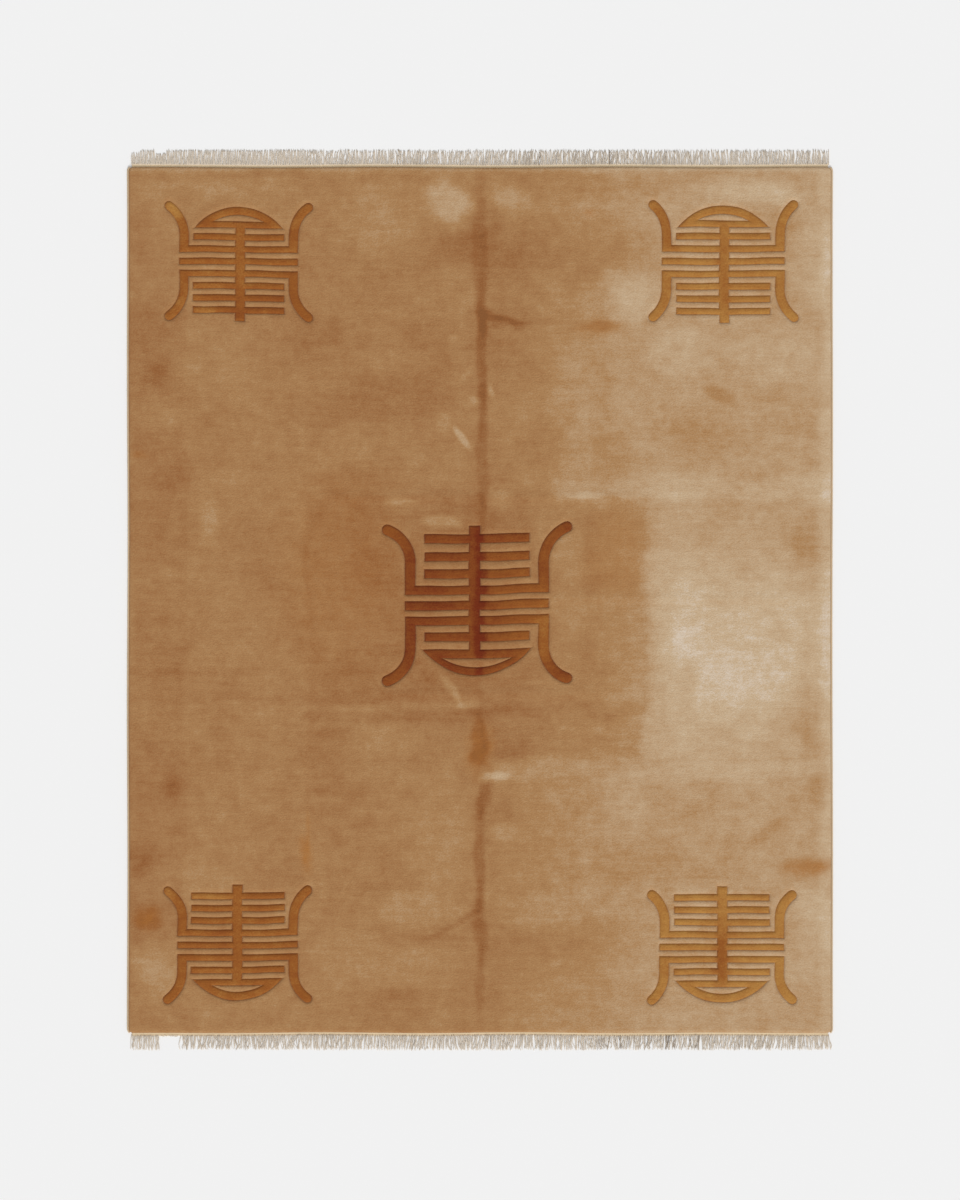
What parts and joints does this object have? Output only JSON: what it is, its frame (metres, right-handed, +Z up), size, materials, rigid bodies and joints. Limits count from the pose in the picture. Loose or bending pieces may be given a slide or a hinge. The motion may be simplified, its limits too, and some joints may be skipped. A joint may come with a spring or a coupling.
{
  "type": "hand-knotted pile rug",
  "caption": "Large rectangular wool pile rug, camel with carved round medallions at the corners and centre, corded sides and fringed ends, lying flat.",
  "frame": {"origin": "on the floor, under the middle of the rug with its fringes", "axes": "+Z up out of the pile, +Y along the rug's length towards the end where the corner medallions' stems point down the rug, +X across it to the right"},
  "size_m": [2.44, 3.1138, 0.0142],
  "materials": {
    "camel_wool": "worn cut wool pile in mottled camel brown, dull with a soft nap",
    "russet_wool": "cut wool pile in russet and old gold, its edges carved with a bevelled groove",
    "pale_wool": "overcast wool cord, faded beige",
    "undyed_cotton": "undyed cotton warp yarn, cream, twisted and tangled"
  },
  "bodies": {
    "root": {"pile_rug": "camel_wool", "side_cord_left": "pale_wool", "side_cord_right": "pale_wool", "fringe_top": "undyed_cotton", "fringe_bottom": "undyed_cotton"}
  },
  "joints": []
}
